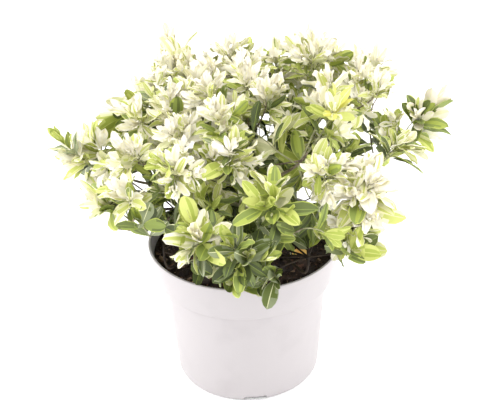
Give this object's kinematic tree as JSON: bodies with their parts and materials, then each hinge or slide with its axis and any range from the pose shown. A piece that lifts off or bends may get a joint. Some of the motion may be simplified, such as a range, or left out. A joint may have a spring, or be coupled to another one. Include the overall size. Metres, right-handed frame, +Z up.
{
  "type": "potted variegated kohuhu shrub",
  "caption": "Young evergreen shrub with cream-edged green leaves on thin upright twigs, rooted in a round plastic nursery pot that stands on its own foot.",
  "frame": {"origin": "middle of the flat pad under the pot, level with the pot's foot", "axes": "+Z up, -Y towards the side that the picture shows, +X to the right as seen from there"},
  "size_m": [0.4009, 0.3661, 0.3532],
  "materials": {
    "pot_plastic": "satin moulded plastic, off-white",
    "soil": "loose dark bark compost",
    "bark": "thin grey-brown bark",
    "variegated_leaf": "glossy green leaves with cream margins"
  },
  "bodies": {
    "root": {"pot": "pot_plastic", "potting_soil": "soil", "main_stem": "bark", "bough_to_upper_foliage_1": "bark", "bough_to_upper_foliage_2": "bark", "bough_to_upper_foliage_3": "bark", "bough_to_upper_foliage_4": "bark", "bough_to_upper_foliage_5": "bark", "bough_to_side_foliage_1": "bark", "bough_to_side_foliage_2": "bark", "bough_to_side_foliage_3": "bark", "bough_to_side_foliage_4": "bark", "bough_to_side_foliage_5": "bark", "bough_to_side_foliage_6": "bark", "bough_to_side_foliage_7": "bark", "bough_to_low_foliage_1": "bark", "bough_to_low_foliage_2": "bark", "bough_to_low_foliage_3": "bark", "bough_to_low_foliage_4": "bark", "bough_to_low_foliage_5": "bark", "top_foliage": "variegated_leaf", "upper_foliage_1": "variegated_leaf", "upper_foliage_2": "variegated_leaf", "upper_foliage_3": "variegated_leaf", "upper_foliage_4": "variegated_leaf", "upper_foliage_5": "variegated_leaf", "side_foliage_1": "variegated_leaf", "side_foliage_2": "variegated_leaf", "side_foliage_3": "variegated_leaf", "side_foliage_4": "variegated_leaf", "side_foliage_5": "variegated_leaf", "side_foliage_6": "variegated_leaf", "side_foliage_7": "variegated_leaf", "low_foliage_1": "variegated_leaf", "low_foliage_2": "variegated_leaf", "low_foliage_3": "variegated_leaf", "low_foliage_4": "variegated_leaf", "low_foliage_5": "variegated_leaf"}
  },
  "joints": []
}
